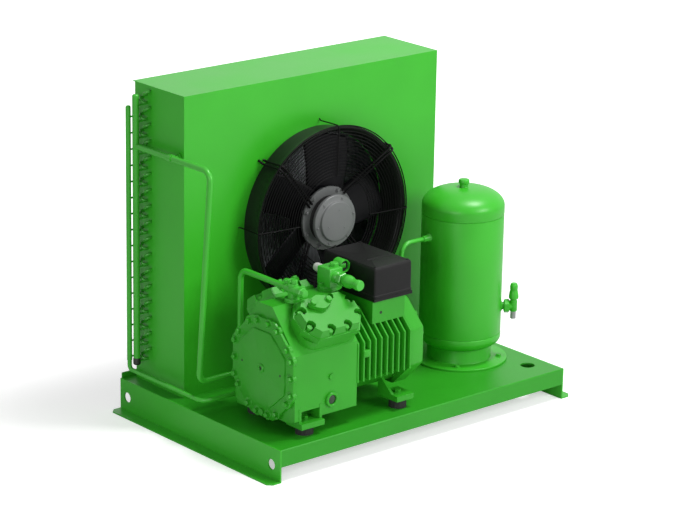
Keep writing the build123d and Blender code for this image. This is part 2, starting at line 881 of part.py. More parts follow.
# Mounts: a rubber buffer under each foot and a bolt head on it.
feet = [(x, y) for x in mount_x for y in mount_y]
with BuildPart() as rubber_mounts:
    with BuildSketch(Plane.XY.offset(base_height)):
        with Locations(*feet):
            RegularPolygon(mount_radius, small_sides)
    extrude(amount=foot_level - base_height)
finish(rubber_mounts.part, "rubber_mounts")

with BuildPart() as mount_bolts:
    with BuildSketch(Plane.XY.offset(foot_level + foot_height)):
        with Locations(*feet):
            RegularPolygon(9, 6)
    extrude(amount=8)
finish(mount_bolts.part, "mount_bolts")

# Sight glass and plugs on the crankcase.
glass_place = (bank_x - 4, axis_z - 80)
front_face = Plane.XZ.offset(-(axis_y - case_half))
with BuildPart() as sight_glass_ring:
    with BuildSketch(front_face):
        with Locations(glass_place):
            RegularPolygon(19, small_sides)
            RegularPolygon(12, small_sides, mode=Mode.SUBTRACT)
    extrude(amount=7)
finish(sight_glass_ring.part, "sight_glass_ring")

with BuildPart() as sight_glass:
    with BuildSketch(front_face):
        with Locations(glass_place):
            RegularPolygon(12, small_sides)
    extrude(amount=4)
finish(sight_glass.part, "sight_glass")

with BuildPart() as oil_plugs:
    with BuildSketch(front_face):
        with Locations((bank_x - 6, axis_z - 18)):
            RegularPolygon(8, 6)
    extrude(amount=4)
    with BuildSketch(across(case_front - cover_thickness)):
        with Locations((0, -cover_high + 13)):
            RegularPolygon(10, 6)
    extrude(amount=-5)
finish(oil_plugs.part, "oil_plugs")

# ---------------------------------------------------------------- compressor valves
case_top_z = axis_z + case_top

# Suction valve: a block on the ridge with a spindle to the front and the pipe socket beside it.
suction_x = -208.0
suction_body_y = axis_y + 2
spindle_z = 455.0
block_front = suction_body_y - 26
with BuildPart() as suction_valve:
    with BuildSketch(Plane.XY.offset(case_top_z)):
        with Locations((suction_x, suction_body_y)):
            RegularPolygon(25, small_sides)
    extrude(amount=12)
    with BuildSketch(Plane.XY.offset(case_top_z + 12)):
        with Locations((suction_x, suction_body_y)):
            Rectangle(44, 52)
    extrude(amount=48)
    with BuildSketch(Plane.XZ.offset(-block_front)):
        with Locations((suction_x, spindle_z)):
            RegularPolygon(16, small_sides)
    extrude(amount=30)
    with BuildSketch(Plane.XZ.offset(-(axis_y + 26))):
        with Locations((suction_x + 48, spindle_z + 14)):
            RegularPolygon(17, small_sides)
            Circle(12, mode=Mode.SUBTRACT)
    extrude(amount=24)
    with BuildSketch(Plane.YZ.offset(suction_x + 22)):
        with Locations((axis_y + 14, spindle_z + 10)):
            RegularPolygon(11, small_sides)
    extrude(amount=12)
    with BuildSketch(Plane.XZ.offset(-(block_front - 30))):
        with Locations((suction_x, spindle_z)):
            Circle(stem_bore)
    extrude(amount=-30, mode=Mode.SUBTRACT)
finish(suction_valve.part, "suction_valve")

with BuildPart() as suction_stem:
    with BuildSketch(Plane.XZ.offset(-(block_front - 4))):
        with Locations((suction_x, spindle_z)):
            Circle(stem_radius)
    extrude(amount=36)
    with BuildSketch(Plane.XZ.offset(-(block_front - 40))):
        with Locations((suction_x, spindle_z)):
            Rectangle(5, 5)
    extrude(amount=12)
finish(suction_stem.part, "suction_stem")

with BuildPart() as suction_cap:
    with BuildSketch(Plane.XZ.offset(-(block_front - 30))):
        with Locations((suction_x, spindle_z)):
            RegularPolygon(16, 6)
    extrude(amount=18)
    with BuildSketch(Plane.XZ.offset(-(block_front - 48))):
        with Locations((suction_x, spindle_z)):
            RegularPolygon(11.5, small_sides)
    extrude(amount=30)
    with BuildSketch(Plane.XZ.offset(-(block_front - 30))):
        with Locations((suction_x, spindle_z)):
            RegularPolygon(6, 6)
    extrude(amount=36, mode=Mode.SUBTRACT)
finish(suction_cap.part, "suction_cap")

with BuildPart() as suction_plug:
    with BuildSketch(Plane.XZ.offset(-(suction_body_y + 26))):
        with Locations((suction_x, spindle_z + 8)):
            RegularPolygon(10, small_sides)
    extrude(amount=-26)
finish(suction_plug.part, "suction_plug")

# Discharge valve: a small body on the ridge, in line with its pipe.
discharge_x = -352.0
discharge_y = axis_y - 20
discharge_z = 450.0
with BuildPart() as discharge_valve:
    with BuildSketch(Plane.XY.offset(case_top_z)):
        with Locations((discharge_x, discharge_y)):
            RegularPolygon(20, small_sides)
    extrude(amount=10)
    with BuildSketch(Plane.XY.offset(case_top_z + 10)):
        with Locations((discharge_x, discharge_y)):
            Rectangle(28, 36)
    extrude(amount=36)
    with BuildSketch(Plane.XZ.offset(-(discharge_y - 18))):
        with Locations((discharge_x, discharge_z)):
            RegularPolygon(10, small_sides)
    extrude(amount=12)
    with BuildSketch(Plane.XZ.offset(-(discharge_y - 30))):
        with Locations((discharge_x, discharge_z)):
            Circle(stem_bore)
    extrude(amount=-24, mode=Mode.SUBTRACT)
finish(discharge_valve.part, "discharge_valve")

with BuildPart() as discharge_stem:
    with BuildSketch(Plane.XZ.offset(-(discharge_y - 10))):
        with Locations((discharge_x, discharge_z)):
            Circle(stem_radius)
    extrude(amount=24)
    with BuildSketch(Plane.XZ.offset(-(discharge_y - 34))):
        with Locations((discharge_x, discharge_z)):
            Rectangle(5, 5)
    extrude(amount=8)
finish(discharge_stem.part, "discharge_stem")

with BuildPart() as discharge_cap:
    with BuildSketch(Plane.XZ.offset(-(discharge_y - 30))):
        with Locations((discharge_x, discharge_z)):
            RegularPolygon(13, 6)
    extrude(amount=22)
    with BuildSketch(Plane.XZ.offset(-(discharge_y - 30))):
        with Locations((discharge_x, discharge_z)):
            RegularPolygon(6, 6)
    extrude(amount=16, mode=Mode.SUBTRACT)
finish(discharge_cap.part, "discharge_cap")

# Service caps: hexagon caps on top of both valves.
with BuildPart() as service_caps:
    with BuildSketch(Plane.XY.offset(case_top_z + 60)):
        with Locations((suction_x + 6, suction_body_y - 6)):
            RegularPolygon(12, 6)
    extrude(amount=10)
    with BuildSketch(Plane.XY.offset(case_top_z + 70)):
        with Locations((suction_x + 6, suction_body_y - 6)):
            RegularPolygon(8, small_sides)
    extrude(amount=8)
    with BuildSketch(Plane.XY.offset(case_top_z + 46)):
        with Locations((discharge_x, discharge_y)):
            RegularPolygon(10, 6)
    extrude(amount=18)
finish(service_caps.part, "service_caps")

# ---------------------------------------------------------------- pipes
# Discharge pipe: from the valve down beside the compressor and up to the gas header.
riser_y = 10.0
with BuildPart() as discharge_pipe:
    with BuildLine() as discharge_route:
        mitred(
            FilletPolyline(
                (discharge_x, discharge_y + 18, discharge_z),
                (discharge_x, riser_y, discharge_z),
                (discharge_x, riser_y, 167),
                (gas_header[0], riser_y, 167),
                (gas_header[0], riser_y - 46, 745),
                (gas_header[0], gas_header[1] - 6, 745),
                radius=discharge_bend,
                mode=Mode.PRIVATE,
            )
        )
    with BuildSketch(Plane(origin=discharge_route.wire() @ 0, z_dir=discharge_route.wire() % 0)):
        RegularPolygon(discharge_tube, 8)
    sweep(path=discharge_route.wire(), transition=Transition.RIGHT)
    with BuildSketch(Plane.XY.offset(700)):
        with Locations(gas_header):
            RegularPolygon(gas_header_radius, 8, major_radius=False, rotation=22.5)
    extrude(amount=90, mode=Mode.SUBTRACT)
finish(discharge_pipe.part, "discharge_pipe")

# Liquid pipe: from the liquid header round the back of the compressor and up to the receiver.
liquid_y = -22.0
inlet_x = 129.0
inlet_y = -78.0
inlet_z = 449.0
with BuildPart() as liquid_pipe:
    with BuildLine() as liquid_route:
        mitred(
            FilletPolyline(
                (liquid_header[0], liquid_header[1], 150),
                (liquid_header[0], liquid_header[1], 125),
                (liquid_header[0], liquid_y, 125),
                (inlet_x, liquid_y, 125),
                (inlet_x, inlet_y, 125),
                (inlet_x, inlet_y, inlet_z),
                (receiver_x - receiver_radius + 6, inlet_y, inlet_z),
                radius=liquid_bend,
                mode=Mode.PRIVATE,
            )
        )
    with BuildSketch(Plane(origin=liquid_route.wire() @ 0, z_dir=liquid_route.wire() % 0)):
        RegularPolygon(liquid_tube, 8)
    sweep(path=liquid_route.wire(), transition=Transition.RIGHT)
    with BuildSketch(Plane.YZ.offset(receiver_x - receiver_radius - 20)):
        with Locations((inlet_y, inlet_z)):
            RegularPolygon(9, small_sides)
    extrude(amount=26)
    add(receiver_shell.part, mode=Mode.SUBTRACT)
finish(liquid_pipe.part, "liquid_pipe")
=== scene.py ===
from math import cos, pi, radians, sin, tan

import bmesh
import bpy
import numpy as np
from mathutils import Matrix, Vector


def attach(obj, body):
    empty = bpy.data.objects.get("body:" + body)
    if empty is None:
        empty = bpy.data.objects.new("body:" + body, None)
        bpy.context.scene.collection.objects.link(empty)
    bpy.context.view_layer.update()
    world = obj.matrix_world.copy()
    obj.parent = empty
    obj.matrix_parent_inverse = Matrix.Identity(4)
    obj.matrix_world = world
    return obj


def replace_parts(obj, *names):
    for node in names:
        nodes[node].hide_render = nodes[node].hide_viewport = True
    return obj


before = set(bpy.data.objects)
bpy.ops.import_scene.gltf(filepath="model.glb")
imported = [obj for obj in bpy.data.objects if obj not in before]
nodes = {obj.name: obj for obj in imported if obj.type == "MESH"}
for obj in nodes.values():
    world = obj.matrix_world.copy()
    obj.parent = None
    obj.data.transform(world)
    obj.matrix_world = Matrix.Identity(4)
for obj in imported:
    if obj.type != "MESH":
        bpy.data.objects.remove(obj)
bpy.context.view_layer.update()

# Studio: a seamless white floor that carries the unit's soft shadow, under three broad lamps and
# an even white surround. The floor is a plain matt sheet that glows for the camera alone, more
# with its distance from the unit, so its far end is as white as the surround.
scene = bpy.context.scene
world = bpy.data.worlds.new("white_surround")
scene.world = world
world.use_nodes = True
tree = world.node_tree
background = tree.nodes["Background"]
background.inputs["Color"].default_value = (1.0, 1.0, 1.0, 1.0)
path = tree.nodes.new("ShaderNodeLightPath")
seen = tree.nodes.new("ShaderNodeMath")
seen.operation = "MAXIMUM"
mirrored = tree.nodes.new("ShaderNodeMath")
mirrored.operation = "MAXIMUM"
strength = tree.nodes.new("ShaderNodeMapRange")
strength.inputs["To Min"].default_value = 0.34
strength.inputs["To Max"].default_value = 1.0
tree.links.new(path.outputs["Is Camera Ray"], seen.inputs[0])
tree.links.new(path.outputs["Is Transmission Ray"], seen.inputs[1])
tree.links.new(seen.outputs[0], mirrored.inputs[0])
tree.links.new(path.outputs["Is Glossy Ray"], mirrored.inputs[1])
tree.links.new(mirrored.outputs[0], strength.inputs["Value"])
tree.links.new(strength.outputs["Result"], background.inputs["Strength"])

floor_mesh = bpy.data.meshes.new("floor_sheet")
floor_mesh.from_pydata([(-9, -9, 0), (9, -9, 0), (9, 9, 0), (-9, 9, 0)], [], [(0, 1, 2, 3)])
floor = bpy.data.objects.new("floor_sheet", floor_mesh)
scene.collection.objects.link(floor)
floor_white = bpy.data.materials.new("floor_white")
floor_white.use_nodes = True
tree = floor_white.node_tree
matt = tree.nodes["Principled BSDF"]
matt.inputs["Base Color"].default_value = (0.8, 0.8, 0.8, 1)
matt.inputs["Roughness"].default_value = 0.9
path = tree.nodes.new("ShaderNodeLightPath")
glow = tree.nodes.new("ShaderNodeMath")
glow.operation = "MULTIPLY"
place = tree.nodes.new("ShaderNodeTexCoord")
reach = tree.nodes.new("ShaderNodeVectorMath")
reach.operation = "LENGTH"
brighter = tree.nodes.new("ShaderNodeMapRange")
brighter.inputs["From Min"].default_value = 1.0
brighter.inputs["From Max"].default_value = 3.2
brighter.inputs["To Min"].default_value = 0.5
brighter.inputs["To Max"].default_value = 1.0
matt.inputs["Emission Color"].default_value = (1, 1, 1, 1)
tree.links.new(place.outputs["Object"], reach.inputs[0])
tree.links.new(reach.outputs["Value"], brighter.inputs["Value"])
tree.links.new(brighter.outputs["Result"], glow.inputs[1])
tree.links.new(path.outputs["Is Camera Ray"], glow.inputs[0])
tree.links.new(glow.outputs[0], matt.inputs["Emission Strength"])
floor_mesh.materials.append(floor_white)


def softbox(name, place, aim, size, power):
    """A square area lamp at a place, turned to face a point of the unit."""
    lamp = bpy.data.lights.new(name, "AREA")
    lamp.size = size
    lamp.energy = power
    holder = bpy.data.objects.new(name, lamp)
    holder.location = place
    holder.rotation_euler = (Vector(aim) - Vector(place)).to_track_quat("-Z", "Y").to_euler()
    scene.collection.objects.link(holder)
    return holder


softbox("front_lamp", (1.5, -4.2, 2.6), (0.0, 0.0, 0.45), 1.8, 118)
softbox("high_lamp", (1.2, -0.9, 4.2), (0.1, 0.0, 0.4), 1.1, 128)
softbox("left_lamp", (-4.4, -2.6, 1.3), (-0.2, 0.0, 0.3), 1.6, 48)

# Camera: a long lens from the front left, a little above the unit, with a slight roll.
turn, tilt, roll = radians(40.7677), radians(17.4759), radians(1.01186)
ahead = Vector((sin(turn) * cos(tilt), cos(turn) * cos(tilt), -sin(tilt)))
level = Vector((cos(turn), -sin(turn), 0))
lift = level.cross(ahead)
right = level * cos(roll) + lift * sin(roll)
upward = lift * cos(roll) - level * sin(roll)
lens = bpy.data.cameras.new("camera")
lens.sensor_width = 36
lens.lens = 146.44
camera = bpy.data.objects.new("camera", lens)
place = Vector((-4.65142, -5.38022, 2.65718))
camera.matrix_world = Matrix.Translation(place) @ Matrix((right, upward, -ahead)).transposed().to_4x4()
scene.collection.objects.link(camera)
scene.camera = camera
scene.view_settings.view_transform = "Standard"


# Paint: the frame, the vessels and the compressor are all sprayed in one glossy green after
# assembly. Sheet metal takes it smooth with a faint orange peel, castings show their grain.
def sprayed(name, light, dark, roughness, grain, relief, sheen=0.42):
    """A sprayed coat: slow noise blends two tones of the colour and varies the gloss about the
    roughness, and fine noise of the grain's scale raises the surface."""
    material = bpy.data.materials.new(name)
    material.use_nodes = True
    tree = material.node_tree
    shader = tree.nodes["Principled BSDF"]
    shader.inputs["Specular IOR Level"].default_value = sheen
    place = tree.nodes.new("ShaderNodeTexCoord")
    drift = tree.nodes.new("ShaderNodeTexNoise")
    drift.inputs["Scale"].default_value = 7
    drift.inputs["Detail"].default_value = 3
    tone = tree.nodes.new("ShaderNodeMix")
    tone.data_type = "RGBA"
    tone.inputs["A"].default_value = (*dark, 1)
    tone.inputs["B"].default_value = (*light, 1)
    peel = tree.nodes.new("ShaderNodeTexNoise")
    peel.inputs["Scale"].default_value = grain
    peel.inputs["Detail"].default_value = 4
    bump = tree.nodes.new("ShaderNodeBump")
    bump.inputs["Strength"].default_value = relief
    bump.inputs["Distance"].default_value = 0.0006
    gloss = tree.nodes.new("ShaderNodeMapRange")
    gloss.inputs["To Min"].default_value = roughness - 0.06
    gloss.inputs["To Max"].default_value = roughness + 0.08
    tree.links.new(place.outputs["Object"], drift.inputs["Vector"])
    tree.links.new(place.outputs["Object"], peel.inputs["Vector"])
    tree.links.new(drift.outputs["Fac"], tone.inputs["Factor"])
    tree.links.new(drift.outputs["Fac"], gloss.inputs["Value"])
    tree.links.new(tone.outputs["Result"], shader.inputs["Base Color"])
    tree.links.new(gloss.outputs["Result"], shader.inputs["Roughness"])
    tree.links.new(peel.outputs["Fac"], bump.inputs["Height"])
    tree.links.new(bump.outputs["Normal"], shader.inputs["Normal"])
    return material


def coat(material, *names):
    """Gives the named nodes one material."""
    for name in names:
        mesh = nodes[name].data
        mesh.materials.clear()
        mesh.materials.append(material)


sheet_paint = sprayed("green_on_sheet", (0.036, 0.43, 0.016), (0.028, 0.36, 0.012), 0.36, 900, 0.12)
# The deck's green is a darker copy of the sheet's green, as painted shade.
deck_shade_paint = sprayed("green_with_shade_on_deck", (0.024, 0.31, 0.012), (0.018, 0.25, 0.009), 0.38, 900, 0.15,
                     sheen=0.3)
cast_paint = sprayed("green_on_casting", (0.032, 0.36, 0.017), (0.024, 0.28, 0.012), 0.30, 420, 0.4,
                     sheen=0.28)

# Base frame: one folded sheet of 4 mm steel, its deck, lip and upstand, welded on two rails
# with holes for lifting. The rails stand on turned-out flanges. The deck, lip and upstand take
# a darker copy of the green as painted shade.
coat(deck_shade_paint, "base_plate", "back_upstand", "front_lip")
coat(sheet_paint, "left_rail", "right_rail")


def skin(name, points, faces, material, body="frame", angle=32, slot="green_paint"):
    """A piece from points in millimetres and their faces: welds seams and poles, shades it
    smooth across edges flatter than the angle and rides it on a body. The slot is not used."""
    mesh = bpy.data.meshes.new(name)
    mesh.from_pydata((points * 0.001).tolist(), [], faces.tolist())
    shell = bmesh.new()
    shell.from_mesh(mesh)
    bmesh.ops.remove_doubles(shell, verts=shell.verts, dist=1e-6)
    bmesh.ops.dissolve_degenerate(shell, edges=shell.edges, dist=1e-7)
    shell.to_mesh(mesh)
    shell.free()
    mesh.shade_smooth()
    mesh.set_sharp_from_angle(angle=radians(angle))
    mesh.materials.append(material)
    piece = bpy.data.objects.new(name, mesh)
    scene.collection.objects.link(piece)
    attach(piece, body)
    return piece


def grid(rows, columns):
    """Faces of a grid of points, row by row, closed on itself across the columns."""
    row, column = np.meshgrid(np.arange(rows - 1), np.arange(columns), indexing="ij")
    beside = (column + 1) % columns
    corners = (row * columns + column, row * columns + beside,
               (row + 1) * columns + beside, (row + 1) * columns + column)
    return np.stack(corners, axis=-1).reshape(-1, 4)


def joined(*parts):
    """Several (points, faces) meshes as one: each part's faces count on from the last part's."""
    first = np.cumsum([0] + [len(points) for points, faces in parts])
    return (np.concatenate([points for points, faces in parts]),
            np.concatenate([faces + start for (points, faces), start in zip(parts, first)]))


def turned(profile, sides=64, foot=(0, 0, 0), axis=(0, 0, 1), start=0.0):
    """A turned form: each (radius, height) of the profile is carried round the axis, so its
    point at turn t is radius * (cos t, sin t) across and height along, from the foot."""
    radius, height = np.array(profile, float).T
    along = np.array(axis, float) / np.linalg.norm(axis)
    side = np.cross((0.0, 0.0, 1.0), along) if abs(along[2]) < 0.9 else np.array((1.0, 0.0, 0.0))
    side = side - along * (side @ along)
    side /= np.linalg.norm(side)
    other = np.cross(along, side)
    turns = start + np.linspace(0, 2 * pi, sides, endpoint=False)
    ring = np.outer(np.cos(turns), side) + np.outer(np.sin(turns), other)
    points = np.array(foot) + radius[:, None, None] * ring + (height[:, None] * along)[:, None, :]
    return points.reshape(-1, 3), grid(len(radius), sides)


# Corner welds: the lip's ends and the rails meet in an upright bead of weld under the paint.
def bead(start, end, radius):
    """A wavy round bead between two points: a turned bar whose radius ripples along it."""
    start, end = np.array(start, float), np.array(end, float)
    length = np.linalg.norm(end - start)
    steps = np.linspace(0, length, int(length / 3) + 2)
    swell = radius * (1 + 0.16 * np.sin(steps * 1.1))
    swell[0] = swell[-1] = 0
    return turned(np.stack((swell, steps), axis=1), 8, start, end - start)


corner_beads = [bead((x, -336.5, 46), (x, -336.5, 84), 1.6) for x in (-496.5, 496.5)]
skin("corner_beads", *joined(*corner_beads), sheet_paint)

# Receiver: a rolled steel vessel with two pressed ends, joined by girth welds that leave a fine
# groove. It stands on a short welded skirt with a bolted round flange.
vessel_x, vessel_y = 341.2, -88.5
vessel = (vessel_x, vessel_y, 0)
shell = 113
knuckle = np.linspace(0, pi / 2, 18)
low_end = np.stack((shell * np.cos(knuckle) ** 0.62, 156 - 33 * np.sin(knuckle) ** 1.05), axis=1)[::-1]
groove_low = [(shell, 166.6), (112.6, 168), (111.4, 168.6), (111.4, 169.6), (112.4, 170.2),
              (112.6, 171.5)]
groove_high = [(112.6, 501.6), (112.4, 503), (111.2, 503.6), (111.2, 504.6), (112.6, 505.2),
               (shell, 506.6)]
top_end = np.stack((shell * np.cos(knuckle) ** 0.72, 528 + 47 * np.sin(knuckle) ** 1.1), axis=1)
profile = np.concatenate((low_end, groove_low, groove_high, top_end))
receiver = skin("receiver_vessel", *turned(profile, 96, vessel), sheet_paint, angle=50)
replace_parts(receiver, "receiver_shell")
foot = [(0, 88), (131, 88), (132, 89), (132, 92.6), (131, 94), (91, 94), (89, 94.8), (88, 97),
        (88, 139), (86, 141), (60, 141), (60, 94), (0, 94)]
skirt = skin("receiver_skirt", *turned(foot, 96, vessel), sheet_paint)
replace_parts(skirt, "receiver_foot")
neck = [(0, 572), (14, 572), (13, 574.5), (12, 577), (12, 584), (14.6, 586), (15, 588), (15, 593),
        (13.6, 596), (11, 597), (0, 597)]
safety_plug = skin("receiver_neck_plug", *turned(neck, 36, vessel), sheet_paint)
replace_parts(safety_plug, "receiver_plug")


# Bolts: plated hexagon heads on round washers, painted over with the castings.
def bolt(place, axis, across, height, washer=1.3, start=0.0):
    """A hexagon head with a chamfered crown on a round washer, turned about its axis."""
    radius = across / 2 / cos(pi / 6)
    base = turned([(0, 0), (radius * washer, 0), (radius * washer, 1.4), (0, 1.4)], 16, place, axis)
    crown = [(0, 1.2), (radius, 1.2), (radius, height - 1.2), (radius - 1.4, height), (0, height)]
    return joined(base, turned(crown, 6, place, axis, start))


def bolt_group(name, bolts, material, node):
    """Like bolts as one piece, in place of the node that holds them."""
    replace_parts(skin(name, *joined(*bolts), material, angle=25), node)


upwards = (0, 0, 1)
circle = 109.5
flange_bolts = [bolt((vessel_x + circle * cos(a), vessel_y + circle * sin(a), 93.6), upwards, 12, 6.4)
                for a in np.radians(45 + 90 * np.arange(4))]
bolt_group("receiver_flange_bolts", flange_bolts, sheet_paint, "receiver_bolts")

# Outlet valve: a forged angle valve on a short nipple and a hexagon nut, with a tapered cap over
# its stem and a bare steel stub below.
heading = radians(-40.8)
out = np.array((cos(heading), sin(heading), 0.0))
seat = np.array((vessel_x, vessel_y, 237.0))
valve = seat + out * 146
nipple = turned([(0, 110), (15, 110), (15, 113.2), (10.5, 115), (10.5, 121), (0, 121)], 32, seat, out)
nut = turned([(0, 119), (15, 119), (20, 121.6), (20, 132.4), (16, 135), (11, 136), (10, 148), (0, 148)],
             6, seat, out, pi / 6)
neck = turned([(0, 134.2), (14, 134.2), (12, 136), (10.4, 137), (10.4, 147.4), (0, 147.4)], 24, seat, out)
body = turned([(0, -14), (9.5, -14), (10.6, -12), (10.6, 15), (9, 17), (9, 20.4), (0, 20.4)], 28, valve)
stub = turned([(0, -36), (6.2, -36), (7.8, -35), (7.8, -12), (0, -12)], 28, valve)
cap = [(0, 20.6), (11, 20.6), (13.5, 23), (13.6, 27), (13.2, 33), (11.6, 42), (10.4, 47), (11, 49),
       (11, 58), (9.5, 63), (8, 65.6), (0, 65.8)]
bare_stub = sprayed("bare_steel_stub", (0.33, 0.33, 0.34), (0.24, 0.24, 0.25), 0.28, 900, 0.1)
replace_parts(skin("outlet_valve_nut", *joined(nut, neck), sheet_paint, angle=28), "outlet_nut")
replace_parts(skin("outlet_valve_nipple", *nipple, sheet_paint), "outlet_nipple")
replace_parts(skin("outlet_valve_body", *body, sheet_paint), "outlet_valve")
skin("outlet_valve_stub", *stub, bare_stub, slot="steel")
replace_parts(skin("outlet_valve_cap", *turned(cap, 24, valve), sheet_paint), "outlet_cap")


# Condenser casing: folded sheet over a finned coil, closing its front, its right side and its
# top. The coil shows at the back between two end plates.
coat(sheet_paint, "shroud", "end_plates")

# Coil: copper rows through pressed aluminium fins, one fin every 2.5 mm, painted over lightly at
# the edges. The fins are a fine upright ribbing with the tube ends' rows faint behind them.
finned = bpy.data.materials.new("finned_aluminium")
finned.use_nodes = True
tree = finned.node_tree
shader = tree.nodes["Principled BSDF"]
shader.inputs["Metallic"].default_value = 0.6
shader.inputs["Roughness"].default_value = 0.42
place = tree.nodes.new("ShaderNodeTexCoord")
fins = tree.nodes.new("ShaderNodeTexWave")
fins.wave_type = "BANDS"
fins.bands_direction = "X"
fins.inputs["Scale"].default_value = 63
rows = tree.nodes.new("ShaderNodeTexWave")
rows.wave_type = "BANDS"
rows.bands_direction = "Z"
rows.inputs["Scale"].default_value = 7.14
blend = tree.nodes.new("ShaderNodeMix")
blend.data_type = "FLOAT"
blend.inputs["Factor"].default_value = 0.1
# The colour runs from dark between the fins, painted shade of the gaps, to light grey on the fins.
ramp = tree.nodes.new("ShaderNodeValToRGB")
ramp.color_ramp.elements[0].color = (0.10, 0.105, 0.11, 1)
ramp.color_ramp.elements[1].color = (0.40, 0.42, 0.44, 1)
relief = tree.nodes.new("ShaderNodeBump")
relief.inputs["Strength"].default_value = 0.6
relief.inputs["Distance"].default_value = 0.001
tree.links.new(place.outputs["Object"], fins.inputs["Vector"])
tree.links.new(place.outputs["Object"], rows.inputs["Vector"])
tree.links.new(fins.outputs["Fac"], blend.inputs["A"])
tree.links.new(rows.outputs["Fac"], blend.inputs["B"])
tree.links.new(blend.outputs["Result"], ramp.inputs["Fac"])
tree.links.new(ramp.outputs["Color"], shader.inputs["Base Color"])
tree.links.new(fins.outputs["Fac"], relief.inputs["Height"])
tree.links.new(relief.outputs["Normal"], shader.inputs["Normal"])
coat(finned, "coil_fins")


# Tubes: copper, brazed and sprayed green. Each is bent from one length, so its corners are
# tangent arcs.
def route(corners, bend, steps=9):
    """Straight runs joined by tangent arcs: at each corner the arc starts bend * tan(turn / 2)
    before it and swings round its centre. A bend too wide for its shorter run is made smaller."""
    corners = np.array(corners, float)
    stations = [corners[:1]]
    for before, corner, after in zip(corners, corners[1:], corners[2:]):
        way_in = (corner - before) / np.linalg.norm(corner - before)
        way_out = (after - corner) / np.linalg.norm(after - corner)
        swing = np.arccos(np.clip(way_in @ way_out, -1, 1))
        shorter = min(np.linalg.norm(corner - before), np.linalg.norm(after - corner))
        radius = min(bend, 0.48 * shorter / tan(swing / 2))
        start = corner - way_in * radius * tan(swing / 2)
        inward = way_out - way_in * (way_in @ way_out)
        inward /= np.linalg.norm(inward)
        turns = np.linspace(0, swing, steps)[:, None]
        stations.append(start + radius * (np.sin(turns) * way_in + (1 - np.cos(turns)) * inward))
    stations.append(corners[-1:])
    return np.concatenate(stations)


def tube(stations, radius, sides=20):
    """A round bar along a route: at each station a circle stands across the route's direction.
    The radius may change from station to station, and both ends are closed."""
    stations = np.asarray(stations, float)
    radius = np.broadcast_to(radius, len(stations)).astype(float)
    along = np.gradient(stations, axis=0)
    along /= np.linalg.norm(along, axis=1)[:, None]
    lean = np.array((0.36, 0.48, 0.8))
    side = np.cross(along, lean)
    side /= np.linalg.norm(side, axis=1)[:, None]
    other = np.cross(along, side)
    turns = np.linspace(0, 2 * pi, sides, endpoint=False)
    ring = np.cos(turns)[:, None, None] * side + np.sin(turns)[:, None, None] * other
    rings = stations + radius[:, None] * ring
    rings = np.concatenate((np.broadcast_to(stations[0], (sides, 1, 3)), rings,
                            np.broadcast_to(stations[-1], (sides, 1, 3))), axis=1)
    return rings.transpose(1, 0, 2).reshape(-1, 3), grid(len(stations) + 2, sides)


rightwards, backwards = (1, 0, 0), (0, 1, 0)
pipe_paint = sprayed("green_on_pipe", (0.048, 0.46, 0.028), (0.036, 0.38, 0.02), 0.3, 700, 0.1)
hot_gas = route([(-352, -182, 450), (-352, 10, 450), (-352, 10, 167), (-488, 10, 167),
                 (-488, -36, 745), (-488, 275, 745)], 26)
piece = skin("discharge_tube", *tube(hot_gas, 8, 24), pipe_paint)
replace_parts(piece, "discharge_pipe")
liquid = route([(-498, 300, 150), (-498, 300, 125), (-498, -22, 125), (129, -22, 125), (129, -78, 125),
                (129, -78, 449), (234, -78, 449)], 30)
socket = turned([(0, 204), (6, 204), (8.6, 205.2), (8.8, 207), (8.8, 221), (10, 224), (12, 228),
                 (0, 230)], 24, (0, -78, 449), rightwards)
piece = skin("liquid_tube", *joined(tube(liquid, 6, 20), socket), pipe_paint)
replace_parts(piece, "liquid_pipe")

# Tube clip: a strap of painted sheet round the hot-gas tube, on a post screwed to the casing's
# side.
strap = turned([(8.2, -8), (10.4, -8), (10.4, 8), (8.2, 8), (8.2, -8)], 24, (-488, 130, 745), backwards)
post = turned([(0, 0), (5, 0), (5, 17), (0, 17)], 12, (-479, 130, 745), rightwards)
pad = turned([(0, 0), (10, 0), (10, 3), (0, 3)], 20, (-465, 130, 745), rightwards)
skin("tube_clip", *joined(strap, post, pad), pipe_paint)


# Headers: two upright copper manifolds beside the coil, with a thin stub brazed to every circuit.
# Each is capped, and the gas header ends below in a black fitting.
def header(x, y, radius, low, high, lift):
    """A capped manifold with its row of stubs, one to every 44 mm, into the end plate."""
    upright = turned([(0, low), (radius - 1, low), (radius, low + 1.5), (radius, high - 4),
                      (radius - 2.5, high - 1), (0, high)], 28, (x, y, 0))
    plate = -458.6 - x
    heights = 155 + 44 * np.arange(17) + lift
    stubs = [turned([(0, 0), (2.6, 0), (2.6, plate), (0, plate)], 8, (x, y, z), rightwards)
             for z in heights[heights < high - 8]]
    return joined(upright, *stubs)


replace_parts(skin("gas_manifold", *header(-488, 281, 9, 150, 884, -6), pipe_paint), "gas_header")
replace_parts(skin("liquid_manifold", *header(-498, 300, 7, 150, 852, 5), pipe_paint), "liquid_header")
dark_fitting = sprayed("dark_fitting", (0.012, 0.018, 0.012), (0.008, 0.012, 0.008), 0.5, 700, 0.2)
fitting = turned([(0, 141), (8, 141), (10, 144), (10, 158), (9.2, 160), (0, 160)], 20, (-488, 281, 0))
skin("gas_manifold_fitting", *fitting, dark_fitting, slot="black_coat")

